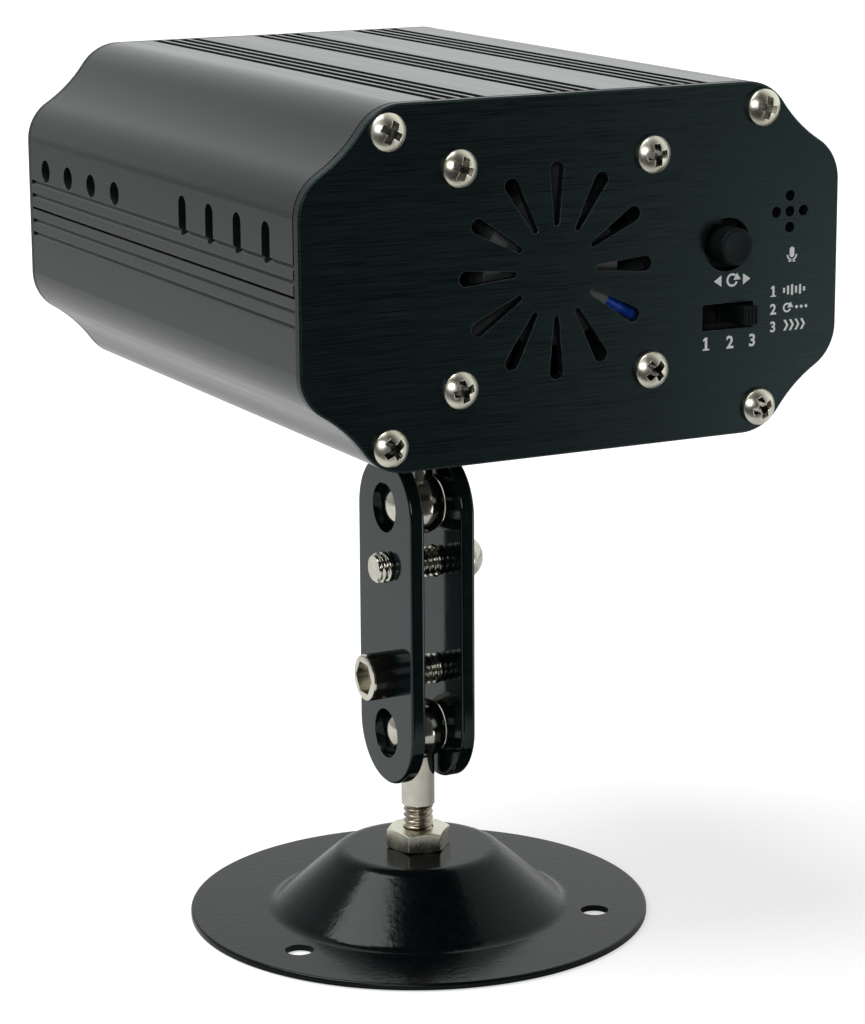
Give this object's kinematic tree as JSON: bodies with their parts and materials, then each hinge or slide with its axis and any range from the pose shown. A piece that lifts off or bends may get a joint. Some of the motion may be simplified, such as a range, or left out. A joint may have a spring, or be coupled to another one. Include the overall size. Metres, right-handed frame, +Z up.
{
  "type": "laser show projector",
  "caption": "Compact stage laser projector: extruded black housing with a fan grille and controls at the rear and beam windows in front, on a ball-jointed clamp arm with a round base.",
  "frame": {"origin": "middle of the base's underside", "axes": "+Z up, the rear control panel faces -Y, the laser beams leave along +Y"},
  "size_m": [0.09, 0.1107, 0.1408],
  "materials": {
    "anodised_black": "satin black anodised",
    "brushed_black": "brushed and black anodised, grain across",
    "nickel_plate": "bright nickel plate",
    "plain_steel": "zinc plated",
    "black_paint": "gloss black paint",
    "black_plastic": "moulded",
    "gloss_black": "moulded, slightly glossy",
    "white_plastic": "moulded",
    "bronze": "turned",
    "laser_brass": "turned",
    "copper_winding": "enamelled winding",
    "circuit_board": "green solder mask",
    "capacitor_sleeve": "sleeved",
    "bare_aluminium": "machined",
    "lead_blue": "insulation",
    "lead_white": "insulation",
    "lead_red": "insulation",
    "clear_film": "clear film",
    "window_glass": "clear"
  },
  "bodies": {
    "base": {"base_plate": "black_paint", "base_nut": "plain_steel"},
    "lower_stud": {"lower_ball_stud": "nickel_plate", "lower_lock_nut": "nickel_plate"},
    "arm": {"arm_plate_left": "black_paint", "arm_plate_right": "black_paint"},
    "upper_clamp": {"upper_clamp_screw": "nickel_plate"},
    "lower_clamp": {"lower_clamp_screw": "nickel_plate"},
    "upper_stud": {"upper_ball_stud": "nickel_plate", "upper_lock_nut": "nickel_plate"},
    "housing": {"upper_shell": "anodised_black", "lower_shell": "anodised_black", "rear_panel": "brushed_black", "front_panel": "brushed_black", "rear_panel_screws": "nickel_plate", "front_panel_screws": "nickel_plate", "mount_insert": "plain_steel", "fan_frame": "black_plastic", "fan_bearing": "bronze", "fan_stator": "copper_winding", "fan_screws": "nickel_plate", "fan_nuts": "plain_steel", "fan_lead_blue": "lead_blue", "fan_lead_white": "lead_white", "control_board": "circuit_board", "control_board_spacers": "bronze", "control_board_nuts": "plain_steel", "mode_switch": "black_plastic", "slide_switch": "black_plastic", "microphone": "bare_aluminium", "main_board": "circuit_board", "board_header": "black_plastic", "driver_chip": "black_plastic", "capacitors": "capacitor_sleeve", "lead_sockets": "white_plastic", "optics_leads": "lead_red", "power_inlet": "black_plastic", "power_inlet_nut": "nickel_plate", "inlet_leads": "lead_red", "optics_block": "bare_aluminium", "optics_block_screws": "nickel_plate", "red_laser": "laser_brass", "green_laser": "laser_brass", "laser_grub_screws": "plain_steel", "grating_motor": "plain_steel", "wheel_clips": "plain_steel", "window_bezel_left": "anodised_black", "window_bezel_right": "anodised_black", "window_glass_left": "window_glass", "window_glass_right": "window_glass"},
    "button": {"mode_button": "gloss_black"},
    "knob": {"switch_knob": "gloss_black"},
    "fan_wheel": {"fan_rotor": "black_plastic", "fan_shaft": "plain_steel"},
    "pinion": {"motor_pinion": "white_plastic", "motor_shaft": "plain_steel"},
    "wheel_left": {"grating_wheel_left": "white_plastic", "grating_film_left": "clear_film"},
    "wheel_right": {"grating_wheel_right": "white_plastic", "grating_film_right": "clear_film"}
  },
  "joints": [
    {"name": "base_swivel", "type": "hinge", "parent": "base", "child": "lower_stud", "pos_m": [0, 0, 0.0108], "axis": [0, 0, 1], "range_deg": [-180, 180]},
    {"name": "arm_tilt", "type": "hinge", "parent": "lower_stud", "child": "arm", "pos_m": [0, 0, 0.0311], "axis": [1, 0, 0], "range_deg": [-90, 90]},
    {"name": "upper_clamp_turn", "type": "hinge", "parent": "arm", "child": "upper_clamp", "pos_m": [0.0058, 0, 0.05925], "axis": [1, 0, 0], "range_deg": [0, 360]},
    {"name": "lower_clamp_turn", "type": "hinge", "parent": "arm", "child": "lower_clamp", "pos_m": [-0.0058, 0, 0.04105], "axis": [-1, 0, 0], "range_deg": [0, 360]},
    {"name": "head_tilt", "type": "hinge", "parent": "arm", "child": "upper_stud", "pos_m": [0, 0, 0.0692], "axis": [-1, 0, 0], "range_deg": [-90, 90]},
    {"name": "head_swivel", "type": "hinge", "parent": "upper_stud", "child": "housing", "pos_m": [0, 0, 0.08785], "axis": [0, 0, 1], "range_deg": [-180, 180]},
    {"name": "mode_press", "type": "slide", "parent": "housing", "child": "button", "axis": [0, 1, 0], "range_m": [0, 0.0015], "stiffness_N_per_m": 600, "springref_m": -0.0005},
    {"name": "knob_slide", "type": "slide", "parent": "housing", "child": "knob", "axis": [1, 0, 0], "range_m": [-0.0061, 0]},
    {"name": "fan_spin", "type": "hinge", "parent": "housing", "child": "fan_wheel", "pos_m": [-0.0038, -0.0445, 0.11515], "axis": [0, 1, 0], "continuous": true},
    {"name": "pinion_spin", "type": "hinge", "parent": "housing", "child": "pinion", "pos_m": [0, 0.032, 0.11835], "axis": [0, 1, 0], "continuous": true},
    {"name": "wheel_left_spin", "type": "hinge", "parent": "housing", "child": "wheel_left", "pos_m": [-0.01355, 0.032, 0.11835], "axis": [0, 1, 0], "continuous": true},
    {"name": "wheel_right_spin", "type": "hinge", "parent": "housing", "child": "wheel_right", "pos_m": [0.01355, 0.032, 0.11835], "axis": [0, 1, 0], "continuous": true}
  ],
  "couplings": [
    {"joint": "wheel_left_spin", "follows": "pinion_spin", "ratio": -0.35},
    {"joint": "wheel_right_spin", "follows": "pinion_spin", "ratio": -0.35}
  ]
}
